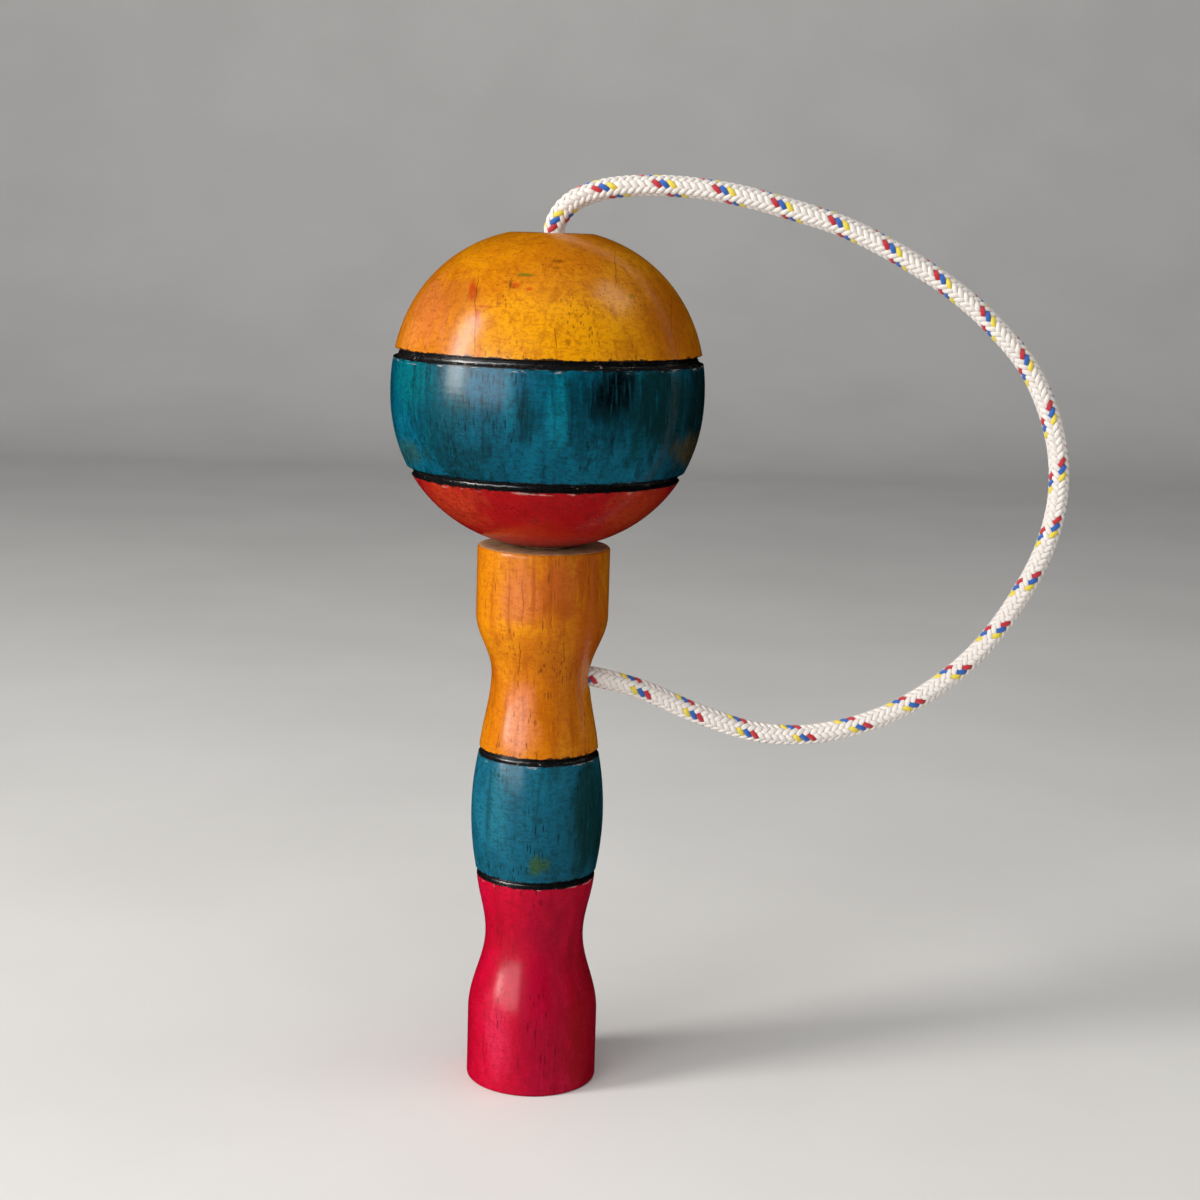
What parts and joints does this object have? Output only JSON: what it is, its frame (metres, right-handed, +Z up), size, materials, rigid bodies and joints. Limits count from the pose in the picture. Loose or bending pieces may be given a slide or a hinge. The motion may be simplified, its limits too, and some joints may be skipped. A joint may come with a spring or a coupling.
{
  "type": "ball and stick catch toy",
  "caption": "Turned wooden catch toy: a banded ball sits over a peg on a waisted handle and is tied to it by a braided cord.",
  "frame": {"origin": "centre of the handle's foot, on the surface that the toy stands on", "axes": "+Z up along the turned axis from the foot to the ball; +X towards the side that the cord leaves from"},
  "size_m": [0.1534, 0.07, 0.2088],
  "materials": {
    "handle_wood": "lacquered, stained in amber, blue and crimson bands",
    "ball_wood": "lacquered, stained in amber, blue and red bands",
    "bare_wood": "bare, sanded",
    "cord_braid": "white braid with coloured tracer yarns"
  },
  "bodies": {
    "handle": {"handle": "handle_wood", "catch_peg": "bare_wood", "handle_knot": "cord_braid", "cord": "cord_braid"},
    "tether": {"ball_knot": "cord_braid"},
    "ball": {"ball": "ball_wood"}
  },
  "joints": [
    {"name": "ball_lift", "type": "slide", "parent": "handle", "child": "tether", "axis": [0, 0, 1], "range_m": [0, 0.018], "deforming": ["cord"]},
    {"name": "ball_spin", "type": "hinge", "parent": "tether", "child": "ball", "pos_m": [0, 0, 0.1605], "axis": [0, 0, 1], "continuous": true}
  ]
}
